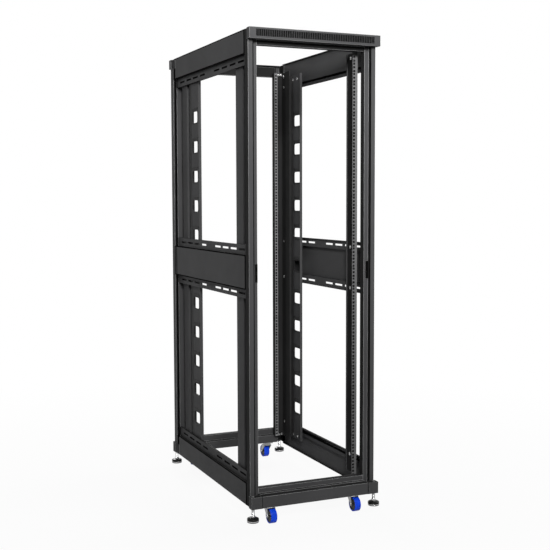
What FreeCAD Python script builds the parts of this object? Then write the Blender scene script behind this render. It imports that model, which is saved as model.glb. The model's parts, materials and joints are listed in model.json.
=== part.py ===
# Four post open frame rack: a 42 unit server frame on swivel casters and levelling feet.
# Millimetres.  X runs across the rack, Y from the front to the rear, Z up.
# The origin is on the floor, under the middle of the rack.
import FreeCAD, Part
import os
import Sketcher

LEFT, RIGHT = -1, 1
FRONT, REAR = 1, -1
SIDES = (("left", LEFT), ("right", RIGHT))
ENDS = (("front", FRONT), ("rear", REAR))
SLOTS_IN_GROUP = 4
WINDOWS_IN_GROUP = 5

# ---------------------------------------------------------------- driving dimensions
DRIVING = (
    ("width", 600.0),  # over the side faces of the covers
    ("depth", 1070.0),  # over the two covers
    ("units", 42),  # rack units of equipment
    ("unit_pitch", 44.45),
    ("bottom_margin", 56.65),  # frame foot to the first rack unit
    ("top_margin", 56.45),  # last rack unit to the frame top
    ("lift", 75.0),  # floor to the frame foot
    ("middle_drop", 4.0),  # middle side panels below half height
    ("hole_line", 67.45),  # side plane to the rail holes, whose lines are 465.1 apart
    ("hole_inset", 7.55),  # hole line to the rail's inner edge
    ("hole_margin", 6.35),  # unit line to the first hole of a unit
    ("hole_size", 9.5),  # square cage nut hole
    ("sheet", 1.5),  # posts, members and panels
    ("rail_sheet", 2.0),
    ("cover_depth", 32.0),
    ("cover_height", 45.0),
    ("base_height", 50.0),
    ("block_width", 47.0),
    ("bar_recess", 1.5),  # base bar face behind the corner blocks
    ("side_inset", 6.0),  # posts and side panels behind the side plane
    ("post_nose", 30.0),  # inner edge of the post's outer step
    ("post_reach", 50.0),  # inner edge of the post
    ("post_step", 17.0),
    ("post_length", 50.0),
    ("post_tail", 12.0),  # recess that takes the panel folds
    ("panel_short", 34.0),  # top and bottom panels stop short of the rear posts
    ("seam", 1.5),  # gap between a panel's end and the post's cheek
    ("panel_fold", 20.0),  # slotted strips behind the side plane
    ("seat_line", 31.0),  # rails and cable panels sit on this line
    ("rear_inset", 8.0),  # rear post face behind the rear cover
    ("latch_middle", 982.0),
    ("left_latch_width", 6.0),
    ("right_latch_width", 11.0),
    ("latch_height", 78.0),
    ("member_step", 20.0),
    ("member_drop", 19.0),  # top members below the frame top
    ("member_height", 24.0),
    ("member_rise", 3.0),  # front bottom member above the base bar
    ("caster_top", 9.0),  # caster plate face above the frame foot
    ("rear_member_depth", 26.0),
    ("rear_member_height", 49.0),
    ("rear_member_drop", 14.0),
    ("rear_member_rise", 28.0),  # upper part of the rear bottom member
    ("rear_member_sink", 1.0),  # its lower part under the base's top
    ("top_panel", 100.0),  # face heights of the side panels
    ("middle_panel", 144.0),
    ("bottom_panel", 96.0),
    ("strip_height", 41.0),
    ("slot_length", 70.0),
    ("slot_height", 8.0),
    ("slot_start", 147.0),
    ("slot_pitch", 97.5),
    ("rail_strip", 24.0),
    ("rail_web", 48.0),
    ("rail_plate", 78.0),
    ("rear_rail_plate", 69.0),
    ("rail_joggle", 12.0),  # inward step of the rear rail beside the cable panel
    ("rail_gap", 3.0),  # rear rail to the cable panel
    ("rail_lip", 8.0),
    ("rail_head", 50.0),
    ("front_rail_face", 109.0),
    ("rear_rail_face", 113.0),  # from the rear
    ("cable_panel_width", 120.0),
    ("cable_panel_place", 231.0),  # rear edge from the rear
    ("cable_panel_foot", 71.0),
    ("cable_panel_head", 74.0),
    ("cable_lip", 13.0),
    ("cable_rear_lip", 10.0),
    ("window_place", 53.0),  # window middle from the panel's front edge
    ("window_width", 78.0),
    ("window_height", 57.0),
    ("window_corner", 12.0),
    ("window_pitch", 140.0),
    ("window_break", 163.0),
    ("window_drop", 31.0),  # middle window below the middle panel's centre
    ("foot_side", 13.0),
    ("foot_place", 19.0),
    ("foot_clearance", 18.0),
    ("foot_radius", 25.0),
    ("foot_thickness", 12.0),
    ("stud_radius", 7.0),
    ("stud_depth", 30.0),  # stud inside the corner block
    ("wheel_radius", 31.5),
    ("wheel_width", 28.0),
    ("axle_radius", 4.0),
    ("caster_side", 101.0),
    ("caster_place", 57.0),
    ("trail", 29.0),
    ("crown_drop", 12.0),  # caster plate to the top of the fork
    ("crown_back", 15.0),  # fork behind the swivel axis
    ("crown_front", 22.0),
    ("leg_half", 9.0),  # half the leg's width at the axle
    ("leg_toe", 5.0),  # half its width at the foot
    ("leg_foot", 8.0),  # leg below the axle
    ("plate_size", 48.0),
    ("plate_thickness", 3.0),
    ("race_radius", 20.0),
    ("race_gap", 0.3),
    ("fork_sheet", 2.5),
    ("fork_gap", 3.0),  # wheel side to fork leg
    ("running_fit", 0.05),
)

doc = FreeCAD.newDocument("open_frame_rack")
sheet_object = doc.addObject("Spreadsheet::Sheet", "Dims")


def text_of(number):
    return number.text if isinstance(number, Size) else repr(number)


def value_of(number):
    return number.value if isinstance(number, Size) else number


class Size:
    """A number that remembers the spreadsheet formula behind it."""

    def __init__(self, value, text):
        self.value = value
        self.text = text

    def __add__(self, other):
        return Size(self.value + value_of(other), "(%s + %s)" % (self.text, text_of(other)))

    def __radd__(self, other):
        return Size(value_of(other) + self.value, "(%s + %s)" % (text_of(other), self.text))

    def __sub__(self, other):
        return Size(self.value - value_of(other), "(%s - %s)" % (self.text, text_of(other)))

    def __rsub__(self, other):
        return Size(value_of(other) - self.value, "(%s - %s)" % (text_of(other), self.text))

    def __mul__(self, other):
        return Size(self.value * value_of(other), "(%s * %s)" % (self.text, text_of(other)))

    def __rmul__(self, other):
        return Size(value_of(other) * self.value, "(%s * %s)" % (text_of(other), self.text))

    def __truediv__(self, other):
        return Size(self.value / value_of(other), "(%s / %s)" % (self.text, text_of(other)))

    def __neg__(self):
        return Size(-self.value, "(0 - %s)" % self.text)


class Sizes:
    """Every driving dimension as an attribute, tied to its spreadsheet cell."""


d = Sizes()
for row, (alias, number) in enumerate(DRIVING, start=1):
    sheet_object.set("A%d" % row, alias)
    sheet_object.set("B%d" % row, str(number))
    sheet_object.setAlias("B%d" % row, alias)
    setattr(d, alias, Size(number, "Dims." + alias))
doc.recompute()

height = d.bottom_margin + d.units * d.unit_pitch + d.top_margin
middle = height / 2 - d.middle_drop


# ---------------------------------------------------------------- drawing helpers
def bind(thing, prop, number):
    """Tie a property to the formula of its size, if it has one."""
    if isinstance(number, Size):
        thing.setExpression(prop, number.text)


def new_body(name, x, y, z):
    body = doc.addObject("PartDesign::Body", name)
    body.Label = name
    place = FreeCAD.Vector(value_of(x), value_of(y), value_of(z))
    body.Placement = FreeCAD.Placement(place, FreeCAD.Rotation())
    bind(body, "Placement.Base.x", x)
    bind(body, "Placement.Base.y", y)
    bind(body, "Placement.Base.z", z)
    return body


def new_sketch(body, name, plane, offset=0.0):
    """A sketch on an origin plane of the body, moved along +X, +Y or +Z by the offset."""
    sketch = body.newObject("Sketcher::SketchObject", name)
    support = [part for part in body.Origin.OriginFeatures if part.Role == plane + "_Plane"]
    sketch.AttachmentSupport = (support[0], [""])
    sketch.MapMode = "FlatFace"
    along_normal = -1 * offset if plane == "XZ" else offset
    lifted = FreeCAD.Vector(0, 0, value_of(along_normal))
    sketch.AttachmentOffset = FreeCAD.Placement(lifted, FreeCAD.Rotation())
    bind(sketch, "AttachmentOffset.Base.z", along_normal)
    return sketch


def hold(sketch, kind, axis_line, geometry, vertex, number):
    """Fix one coordinate of a point, measured from the sketch's origin."""
    value = value_of(number)
    if abs(value) < 1e-9:
        sketch.addConstraint(Sketcher.Constraint("PointOnObject", geometry, vertex, axis_line))
        return
    if value > 0:
        index = sketch.addConstraint(Sketcher.Constraint(kind, -1, 1, geometry, vertex, value))
        bind(sketch, "Constraints[%d]" % index, number)
    else:
        index = sketch.addConstraint(Sketcher.Constraint(kind, geometry, vertex, -1, 1, -value))
        bind(sketch, "Constraints[%d]" % index, -number if isinstance(number, Size) else -value)


def ring(sketch, points):
    """A closed outline of straight lines through the points."""
    corners = [FreeCAD.Vector(value_of(x), value_of(y), 0) for x, y in points]
    first = sketch.GeometryCount
    count = len(corners)
    for i in range(count):
        sketch.addGeometry(Part.LineSegment(corners[i], corners[(i + 1) % count]), False)
    for i in range(count):
        following = first + (i + 1) % count
        sketch.addConstraint(Sketcher.Constraint("Coincident", first + i, 2, following, 1))
    for i, (x, y) in enumerate(points):
        hold(sketch, "DistanceX", -2, first + i, 1, x)
        hold(sketch, "DistanceY", -1, first + i, 1, y)


def circle(sketch, x, y, radius):
    centre = FreeCAD.Vector(value_of(x), value_of(y), 0)
    index = sketch.addGeometry(Part.Circle(centre, FreeCAD.Vector(0, 0, 1), value_of(radius)))
    hold(sketch, "DistanceX", -2, index, 3, x)
    hold(sketch, "DistanceY", -1, index, 3, y)
    size = sketch.addConstraint(Sketcher.Constraint("Radius", index, value_of(radius)))
    bind(sketch, "Constraints[%d]" % size, radius)


def box_points(x0, x1, y0, y1):
    return [(x0, y0), (x1, y0), (x1, y1), (x0, y1)]


def centred_points(x, y, length, tall):
    return box_points(x - length / 2, x + length / 2, y - tall / 2, y + tall / 2)


def cut_corner_points(x, y, length, tall, corner):
    """An opening with its four corners cut off, round the centre x, y."""
    a, b = length / 2, tall / 2
    return [
        (x - a + corner, y - b),
        (x + a - corner, y - b),
        (x + a, y - b + corner),
        (x + a, y + b - corner),
        (x + a - corner, y + b),
        (x - a + corner, y + b),
        (x - a, y + b - corner),
        (x - a, y - b + corner),
    ]


def feature(body, kind, name, sketch, length, reverse=False, both=False):
    made = body.newObject("PartDesign::" + kind, name)
    made.Profile = sketch
    made.Length = value_of(length)
    bind(made, "Length", length)
    made.Reversed = reverse
    if both:
        made.SideType = "Symmetric"
    body.Tip = made
    return made


def pad(body, name, sketch, length, reverse=False, both=False):
    return feature(body, "Pad", name, sketch, length, reverse, both)


def pocket(body, name, sketch, length, reverse=False, both=False):
    return feature(body, "Pocket", name, sketch, length, reverse, both)


def repeat(body, name, original, sketch, axis, pitch, count):
    """Copies of a pocket at an even pitch along one axis of its sketch."""
    made = body.newObject("PartDesign::LinearPattern", name)
    made.Originals = [original]
    made.Direction = (sketch, [axis])
    made.Mode = "Spacing"
    made.Offset = value_of(pitch)
    bind(made, "Offset", pitch)
    made.Occurrences = int(value_of(count))
    bind(made, "Occurrences", count)
    body.Tip = made
    return made


def turn(body, name, sketch, axis):
    made = body.newObject("PartDesign::Revolution", name)
    made.Profile = sketch
    made.ReferenceAxis = (sketch, [axis])
    made.Angle = 360.0
    body.Tip = made
    return made


def from_side(side, inset):
    """Local X of a place so far in from a side plane that holds the body's origin."""
    return -side * inset


def tube_rings(sketch, outline, wall, place):
    """Both outlines of a closed tube; each corner says which way its wall lies."""
    ring(sketch, [place(a, b) for a, b, _, _ in outline])
    ring(sketch, [place(a + wall * p, b + wall * q) for a, b, p, q in outline])


# ---------------------------------------------------------------- posts and members
def make_post(side_name, side, end_name, end):
    """Roll formed post: a stepped tube with a recess that takes the side panels' folds."""
    name = "%s_%s_post" % (end_name, side_name)
    at_front = end == FRONT
    start = d.cover_depth if at_front else d.rear_inset
    foot = 0.0 if at_front else d.base_height
    tall = height if at_front else height - d.base_height - d.cover_height
    body = new_body(name, side * d.width / 2, -end * d.depth / 2, d.lift + foot)
    outline = [
        (d.side_inset, start, 1, 1),
        (d.post_nose, start, -1, 1),
        (d.post_nose, start + d.post_step, -1, 1),
        (d.post_reach, start + d.post_step, -1, 1),
        (d.post_reach, start + d.post_length, -1, -1),
        (d.panel_fold, start + d.post_length, 1, -1),
        (d.panel_fold, start + d.post_length - d.post_tail, 1, -1),
        (d.side_inset, start + d.post_length - d.post_tail, 1, -1),
    ]

    def place(inset, run):
        return from_side(side, inset), end * run

    section = new_sketch(body, name + "_section", "XY")
    tube_rings(section, outline, d.sheet, place)
    pad(body, name + "_tube", section, tall)
    if at_front:
        lid = new_sketch(body, name + "_lid_outline", "XY", tall - d.sheet)
        ring(lid, [place(a, b) for a, b, _, _ in outline])
        pad(body, name + "_lid", lid, d.sheet)
        latch = new_sketch(body, name + "_latch_outline", "XZ", start + d.post_step)
        near = d.post_reach - d.left_latch_width if side == LEFT else d.post_nose
        far = d.post_reach if side == LEFT else d.post_nose + d.right_latch_width
        low = d.latch_middle - d.latch_height / 2
        high = d.latch_middle + d.latch_height / 2
        ring(latch, box_points(from_side(side, near), from_side(side, far), low, high))
        pocket(body, name + "_latch", latch, d.post_tail)
    else:
        make_cheeks(body, name, side)
    return body


def make_cheeks(body, name, side):
    """Plates at both ends of a rear post that reach past the corner to the side panels."""
    wall_middle = from_side(side, d.side_inset + d.sheet / 2)
    cheeks = new_sketch(body, name + "_cheek_outlines", "YZ", wall_middle)
    far = d.rear_inset + d.post_length - d.post_tail + d.panel_short - d.seam
    top = height - d.base_height
    ring(cheeks, box_points(-d.cover_depth, -far, -d.base_height, d.bottom_panel - d.base_height))
    ring(cheeks, box_points(-d.cover_depth, -far, top - d.top_panel, top))
    pad(body, name + "_cheeks", cheeks, d.sheet, both=True)


def make_member(name, end, outline):
    """Hollow cross member between the two posts of one end."""
    body = new_body(name, d.post_reach - d.width / 2, -end * d.depth / 2, d.lift)
    section = new_sketch(body, name + "_section", "YZ")

    def place(run, rise):
        return end * run, rise

    tube_rings(section, outline, d.sheet, place)
    pad(body, name + "_tube", section, d.width - 2 * d.post_reach)
    return body


def make_members():
    outer = d.cover_depth
    step = d.cover_depth + d.post_step
    inner = d.cover_depth + d.post_length
    top = height - d.member_drop
    shelf = top - d.member_height
    make_member("front_top_member", FRONT, [
        (outer, shelf, 1, 1),
        (step, shelf, 1, 1),
        (step, shelf - d.member_step, 1, 1),
        (inner, shelf - d.member_step, -1, 1),
        (inner, top, -1, -1),
        (outer, top, 1, -1),
    ])
    lower = d.base_height + d.member_rise
    make_member("front_bottom_member", FRONT, [
        (outer, d.caster_top, 1, 1),
        (inner, d.caster_top, -1, 1),
        (inner, lower + d.member_step, -1, -1),
        (step, lower + d.member_step, 1, -1),
        (step, lower, 1, -1),
        (outer, lower, 1, -1),
    ])
    rear_inner = d.cover_depth + d.rear_member_depth
    rear_top = height - d.rear_member_drop
    make_member("rear_top_member", REAR, [
        (outer, rear_top - d.rear_member_height, 1, 1),
        (rear_inner, rear_top - d.rear_member_height, -1, 1),
        (rear_inner, rear_top, -1, -1),
        (outer, rear_top, 1, -1),
    ])
    shelf = d.base_height - d.rear_member_sink
    make_member("rear_bottom_member", REAR, [
        (outer, d.caster_top, 1, 1),
        (inner, d.caster_top, -1, 1),
        (inner, shelf, -1, -1),
        (rear_inner, shelf, -1, -1),
        (rear_inner, shelf + d.rear_member_rise, -1, -1),
        (outer, shelf + d.rear_member_rise, 1, -1),
    ])


# ---------------------------------------------------------------- covers and base
def make_top_cover(end_name, end):
    """Folded pan across the rack's top edge, open towards the posts."""
    name = end_name + "_top_cover"
    foot = d.lift + height - d.cover_height
    body = new_body(name, -d.width / 2, -end * d.depth / 2, foot)
    outline = new_sketch(body, name + "_outline", "XY")
    ring(outline, box_points(0.0, d.width, 0.0, end * d.cover_depth))
    pad(body, name + "_block", outline, d.cover_height)
    inside = new_sketch(body, name + "_inside_outline", "XZ", end * d.cover_depth)
    ring(inside, box_points(d.sheet, d.width - d.sheet, d.sheet, d.cover_height - d.sheet))
    pocket(body, name + "_inside", inside, d.cover_depth - d.sheet, reverse=end == FRONT)
    return body


def make_base_bar(end_name, end):
    name = end_name + "_base_bar"
    body = new_body(name, d.block_width - d.width / 2, -end * d.depth / 2, d.lift)
    section = new_sketch(body, name + "_section", "YZ")
    outline = [
        (d.bar_recess, 0.0, 1, 1),
        (d.cover_depth, 0.0, -1, 1),
        (d.cover_depth, d.base_height, -1, -1),
        (d.bar_recess, d.base_height, 1, -1),
    ]
    tube_rings(section, outline, d.sheet, lambda run, rise: (end * run, rise))
    pad(body, name + "_tube", section, d.width - 2 * d.block_width)
    return body


def make_corner_block(side_name, side, end_name, end):
    """Corner block with the bore for a levelling foot's stud."""
    name = "%s_%s_corner_block" % (end_name, side_name)
    body = new_body(name, side * d.width / 2, -end * d.depth / 2, d.lift)
    outline = new_sketch(body, name + "_outline", "XY")
    ring(outline, box_points(0.0, from_side(side, d.block_width), 0.0, end * d.cover_depth))
    bore = d.stud_radius + d.running_fit
    circle(outline, from_side(side, d.foot_side), end * d.foot_place, bore)
    pad(body, name + "_block", outline, d.base_height)
    return body


# ---------------------------------------------------------------- side panels
def make_side_panel(side_name, side, level, foot, tall, strips, short):
    """Folded side panel: a shallow tray with slotted strips and the lips rails sit on."""
    name = "%s_%s_side_panel" % (side_name, level)
    body = new_body(name, side * d.width / 2, -d.depth / 2, d.lift + foot)
    tail = d.post_length - d.post_tail
    face_start = d.cover_depth + tail
    face_end = d.depth - d.rear_inset - tail - short
    strip_start = d.cover_depth + d.post_length
    strip_end = d.depth - d.rear_inset - d.post_length
    outer, fold, wall = d.side_inset, d.panel_fold, d.sheet

    def across(points):
        return [(from_side(side, inset), rise) for inset, rise in points]

    tray = new_sketch(body, name + "_tray_section", "XZ", face_start)
    ring(tray, across([
        (outer, 0.0),
        (fold, 0.0),
        (fold, wall),
        (outer + wall, wall),
        (outer + wall, tall - wall),
        (fold, tall - wall),
        (fold, tall),
        (outer, tall),
    ]))
    pad(body, name + "_tray", tray, face_end - face_start, reverse=True)

    strip_section = new_sketch(body, name + "_strip_section", "XZ", strip_start)
    middles = []
    for direction in strips:
        edge = tall if direction > 0 else 0.0
        free = edge + direction * d.strip_height
        ring(strip_section, across([
            (fold, edge - direction * wall),
            (fold + wall, edge - direction * wall),
            (fold + wall, free - direction * wall),
            (d.seat_line, free - direction * wall),
            (d.seat_line, free),
            (fold, free),
        ]))
        middles.append(edge + direction * d.strip_height / 2)
    pad(body, name + "_strip", strip_section, strip_end - strip_start, reverse=True)

    first_of_rear_group = d.depth - d.slot_start - (SLOTS_IN_GROUP - 1) * d.slot_pitch
    middle_of_strip = from_side(side, fold + wall / 2)
    slots = new_sketch(body, name + "_slot_outlines", "YZ", middle_of_strip)
    for centre in (d.slot_start, first_of_rear_group):
        for rise in middles:
            ring(slots, centred_points(centre, rise, d.slot_length, d.slot_height))
    cut = pocket(body, name + "_slot", slots, wall * 2, both=True)
    repeat(body, name + "_slots", cut, slots, "H_Axis", d.slot_pitch, SLOTS_IN_GROUP)
    return body


def make_side_panels(side_name, side):
    short = d.panel_short
    foot_of_middle = middle - d.middle_panel / 2
    foot_of_top = height - d.top_panel
    make_side_panel(side_name, side, "top", foot_of_top, d.top_panel, (-1,), short)
    make_side_panel(side_name, side, "middle", foot_of_middle, d.middle_panel, (-1, 1), 0.0)
    make_side_panel(side_name, side, "bottom", 0.0, d.bottom_panel, (1,), short)


# ---------------------------------------------------------------- equipment rails
def make_rail(side_name, side, end_name, end):
    """Mounting rail; the front pair gets its three square holes in every rack unit."""
    name = "%s_%s_rail" % (end_name, side_name)
    body = new_body(name, side * d.width / 2, -d.depth / 2, d.lift + d.base_height)
    line = d.hole_line
    edge = line + d.hole_inset
    wall = d.rail_sheet
    seat = d.seat_line
    if end == FRONT:
        face = d.front_rail_face
        back = face + d.rail_web
        far = back + d.rail_plate
        outboard = edge - d.rail_strip
        profile = [
            (edge, face),
            (edge, face + wall),
            (outboard + wall, face + wall),
            (outboard + wall, back),
            (seat + wall, back),
            (seat + wall, far - wall),
            (seat + d.rail_lip, far - wall),
            (seat + d.rail_lip, far),
            (seat, far),
            (seat, back - wall),
            (outboard, back - wall),
            (outboard, face),
        ]
    else:
        face = d.depth - d.rear_rail_face
        step = face - d.rear_rail_plate
        far = d.depth - d.cable_panel_place + d.rail_gap
        inner = seat + d.rail_joggle
        profile = [
            (edge, face),
            (edge, face + d.rail_lip),
            (edge - wall, face + d.rail_lip),
            (edge - wall, face + wall),
            (seat, face + wall),
            (seat, step),
            (inner, step),
            (inner, far),
            (inner + wall, far),
            (inner + wall, step + wall),
            (seat + wall, step + wall),
            (seat + wall, face),
        ]
    section = new_sketch(body, name + "_section", "XY")
    ring(section, [(from_side(side, inset), run) for inset, run in profile])
    pad(body, name + "_profile", section, height - d.base_height - d.rail_head)

    if end == FRONT:
        punch_rail(body, name, from_side(side, line), face + wall / 2)
    return body


def punch_rail(body, name, line, middle_of_face):
    """Three square holes cut in one rack unit and repeated up the rail."""
    first_unit = d.bottom_margin - d.base_height
    half = d.hole_size / 2
    holes = new_sketch(body, name + "_hole_outlines", "XZ", middle_of_face)
    for rise in (d.hole_margin, d.unit_pitch / 2, d.unit_pitch - d.hole_margin):
        centre = first_unit + rise
        ring(holes, box_points(line - half, line + half, centre - half, centre + half))
    cut = pocket(body, name + "_holes_of_a_unit", holes, d.rail_sheet * 2, both=True)
    repeat(body, name + "_holes", cut, holes, "V_Axis", d.unit_pitch, d.units)


# ---------------------------------------------------------------- cable panels
def make_cable_panel(side_name, side):
    """Upright plate beside the rear rail, with a ladder of cable windows."""
    name = side_name + "_cable_panel"
    body = new_body(name, side * d.width / 2, -d.depth / 2, d.lift + d.cable_panel_foot)
    rear = d.depth - d.cable_panel_place
    front = rear - d.cable_panel_width
    seat, wall = d.seat_line, d.sheet
    section = new_sketch(body, name + "_section", "XY")
    ring(section, [(from_side(side, inset), run) for inset, run in (
        (seat, front),
        (seat + d.cable_lip, front),
        (seat + d.cable_lip, front + wall),
        (seat + wall, front + wall),
        (seat + wall, rear - wall),
        (seat + d.cable_rear_lip, rear - wall),
        (seat + d.cable_rear_lip, rear),
        (seat, rear),
    )])
    pad(body, name + "_plate", section, height - d.cable_panel_foot - d.cable_panel_head)

    in_plate = from_side(side, seat + wall / 2)
    run = front + d.window_place
    centre = middle - d.cable_panel_foot - d.window_drop

    def window(sketch, rise):
        opening = (d.window_width, d.window_height, d.window_corner)
        ring(sketch, cut_corner_points(run, rise, *opening))

    single = new_sketch(body, name + "_middle_window_outline", "YZ", in_plate)
    window(single, centre)
    pocket(body, name + "_middle_window", single, wall * 2, both=True)
    pair = new_sketch(body, name + "_window_outlines", "YZ", in_plate)
    window(pair, centre + d.window_break)
    window(pair, centre - d.window_break - (WINDOWS_IN_GROUP - 1) * d.window_pitch)
    cut = pocket(body, name + "_window_pair", pair, wall * 2, both=True)
    repeat(body, name + "_windows", cut, pair, "V_Axis", d.window_pitch, WINDOWS_IN_GROUP)
    return body


# ---------------------------------------------------------------- feet and casters
def make_levelling_foot(side_name, side, end_name, end):
    """Round pad on a stud that screws through the corner block."""
    name = "%s_%s_levelling_foot" % (end_name, side_name)
    x = side * (d.width / 2 - d.foot_side)
    y = -end * (d.depth / 2 - d.foot_place)
    body = new_body(name, x, y, d.foot_clearance)
    stud_top = d.lift + d.stud_depth - d.foot_clearance
    profile = new_sketch(body, name + "_profile", "XZ")
    ring(profile, [
        (0.0, 0.0),
        (d.foot_radius, 0.0),
        (d.foot_radius, d.foot_thickness),
        (d.stud_radius, d.foot_thickness),
        (d.stud_radius, stud_top),
        (0.0, stud_top),
    ])
    turn(body, name + "_turning", profile, "V_Axis")
    return body


def make_caster(side_name, side, end_name, end):
    """Swivel caster: a plate, a folded fork under its ball race, and a wheel on an axle."""
    corner = "%s_%s_caster" % (end_name, side_name)
    x = side * (d.width / 2 - d.caster_side)
    y = -end * (d.depth / 2 - d.caster_place)
    plate_foot = d.caster_top - d.plate_thickness
    crown_top = plate_foot - d.crown_drop
    axle_y = -end * d.trail
    axle_z = d.wheel_radius - d.lift

    plate = new_body(corner + "_plate", x, y, d.lift)
    outline = new_sketch(plate, corner + "_plate_outline", "XY", plate_foot)
    ring(outline, centred_points(0.0, 0.0, d.plate_size, d.plate_size))
    pad(plate, corner + "_plate_block", outline, d.plate_thickness)

    fork = new_body(corner + "_fork", x, y, d.lift)
    inside = d.wheel_width + 2 * d.fork_gap
    leg = new_sketch(fork, corner + "_leg_outline", "YZ")
    ring(leg, [(-end * run, rise) for run, rise in (
        (-d.crown_back, crown_top),
        (d.crown_front, crown_top),
        (d.trail + d.leg_half, axle_z),
        (d.trail + d.leg_toe, axle_z - d.leg_foot),
        (d.trail - d.leg_toe, axle_z - d.leg_foot),
        (d.trail - d.leg_half, axle_z),
    )])
    pad(fork, corner + "_legs", leg, inside + 2 * d.fork_sheet, both=True)
    gap = new_sketch(fork, corner + "_leg_gap_outline", "YZ")
    low = axle_z - 2 * d.leg_foot
    high = crown_top - d.fork_sheet
    ring(gap, box_points(-end * (d.trail + 2 * d.leg_half), end * d.race_radius, low, high))
    pocket(fork, corner + "_leg_gap", gap, inside, both=True)
    axle = new_sketch(fork, corner + "_axle_outline", "YZ")
    circle(axle, axle_y, axle_z, d.axle_radius)
    pad(fork, corner + "_axle", axle, inside + 2 * d.fork_sheet, both=True)
    race = new_sketch(fork, corner + "_race_outline", "XY", crown_top)
    circle(race, 0.0, 0.0, d.race_radius)
    pad(fork, corner + "_race", race, plate_foot - d.race_gap - crown_top)

    wheel = new_body(corner + "_wheel", x, y + axle_y, d.wheel_radius)
    half = d.wheel_width / 2
    outer = d.wheel_radius
    turning = new_sketch(wheel, corner + "_wheel_profile", "XY")
    bore = d.axle_radius + d.running_fit
    ring(turning, box_points(-half, half, bore, outer))
    turn(wheel, corner + "_wheel_turning", turning, "H_Axis")


# ---------------------------------------------------------------- the whole rack
for end_name, end in ENDS:
    make_top_cover(end_name, end)
    make_base_bar(end_name, end)
    for side_name, side in SIDES:
        make_post(side_name, side, end_name, end)
        make_corner_block(side_name, side, end_name, end)
        make_rail(side_name, side, end_name, end)
        make_levelling_foot(side_name, side, end_name, end)
        make_caster(side_name, side, end_name, end)
make_members()
for side_name, side in SIDES:
    make_side_panels(side_name, side)
    make_cable_panel(side_name, side)
doc.recompute()

# ---------------------------------------------------------------- checks and files
broken = [item.Name for item in doc.Objects if "Invalid" in item.State or "Error" in item.State]
if broken:
    raise RuntimeError("objects with errors: " + ", ".join(broken))
os.makedirs("parts", exist_ok=True)
for body in doc.findObjects("PartDesign::Body"):
    shape = body.Shape
    if shape.isNull() or not shape.isValid() or len(shape.Solids) != 1:
        raise RuntimeError("bad shape: " + body.Label)
    shape.exportStep("parts/" + body.Label + ".step")
    print("%-34s %8.1f cm3" % (body.Label, shape.Volume / 1000))
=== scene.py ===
# %% [markdown]
# # A four post open frame server rack
# The steel frame, rails and panels come from a CAD model as fixed nodes.  This lesson dresses
# them: it gives each its finish, cuts the vent slots, and adds what the CAD model leaves out or
# keeps plain, such as screws, the wheels' treads, the studs' threads and the window trims.
# Everything is in metres.  X runs across the rack, Y from the front to the rear, Z up.
# The near black strips along seams, edges and slots and the sheets behind slots are painted
# shade: they stand where dark lines and bands of shade are seen, and the real rack most likely
# has only gaps, folds and shadow there.  The rubber window trims are guesses.

import json
import math

import bpy
from mathutils import Matrix, Vector


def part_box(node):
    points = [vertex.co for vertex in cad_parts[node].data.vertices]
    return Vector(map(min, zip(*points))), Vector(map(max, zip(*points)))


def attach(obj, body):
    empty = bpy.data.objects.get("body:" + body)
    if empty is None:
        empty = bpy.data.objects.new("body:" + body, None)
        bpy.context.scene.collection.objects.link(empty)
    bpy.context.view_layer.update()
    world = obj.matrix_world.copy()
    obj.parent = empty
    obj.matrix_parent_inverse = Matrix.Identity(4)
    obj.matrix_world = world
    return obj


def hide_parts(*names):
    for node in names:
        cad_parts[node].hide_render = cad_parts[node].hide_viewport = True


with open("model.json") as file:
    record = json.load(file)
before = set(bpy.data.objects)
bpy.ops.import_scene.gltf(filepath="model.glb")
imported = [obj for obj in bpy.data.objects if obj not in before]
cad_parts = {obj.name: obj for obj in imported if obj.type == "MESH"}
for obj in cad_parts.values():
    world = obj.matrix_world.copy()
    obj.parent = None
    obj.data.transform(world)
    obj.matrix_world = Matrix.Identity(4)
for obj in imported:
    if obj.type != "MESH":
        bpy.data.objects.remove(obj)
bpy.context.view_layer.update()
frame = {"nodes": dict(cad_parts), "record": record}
nodes = frame["nodes"]

# %% [markdown]
# ## Small helpers
# Operators act on whatever is selected, so each step starts with nothing selected.  A new piece
# is modelled where it belongs, and its transform is then applied: its object ends up at the
# origin with its place in its mesh, which keeps textures on Object coordinates steady.

# %% Selecting, and settling a new piece
MM = 0.001
ENDS = {"front": -1, "rear": 1}
SIDES = {"left": -1, "right": 1}


def select_only(piece):
    bpy.ops.object.select_all(action="DESELECT")
    piece.select_set(True)
    bpy.context.view_layer.objects.active = piece


def settle(piece, name):
    """Apply the piece's transform and give it its name."""
    select_only(piece)
    bpy.ops.object.transform_apply(location=True, rotation=True, scale=True)
    piece.name = name
    piece.data.name = name
    return piece


def add_modifier(piece, kind, **settings):
    modifier = piece.modifiers.new(kind.title(), kind)
    for key, value in settings.items():
        setattr(modifier, key, value)
    select_only(piece)
    bpy.ops.object.modifier_apply(modifier=modifier.name)
    return piece

# %% Raw shapes
def box_piece(name, low, high):
    """A box between two corners, ready to be shaped further."""
    low, high = Vector(low), Vector(high)
    bpy.ops.object.select_all(action="DESELECT")
    bpy.ops.mesh.primitive_cube_add(size=1.0, location=(low + high) / 2)
    piece = bpy.context.object
    piece.scale = high - low
    return settle(piece, name)


def rod_piece(name, radius, length, centre, axis="Z", sides=32):
    """A round bar along one axis, ready to be shaped further."""
    turns = {"X": (0, math.pi / 2, 0), "Y": (math.pi / 2, 0, 0), "Z": (0, 0, 0)}
    bpy.ops.object.select_all(action="DESELECT")
    bpy.ops.mesh.primitive_cylinder_add(
        vertices=sides, radius=radius, depth=length, location=centre, rotation=turns[axis]
    )
    return settle(bpy.context.object, name)

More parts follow.
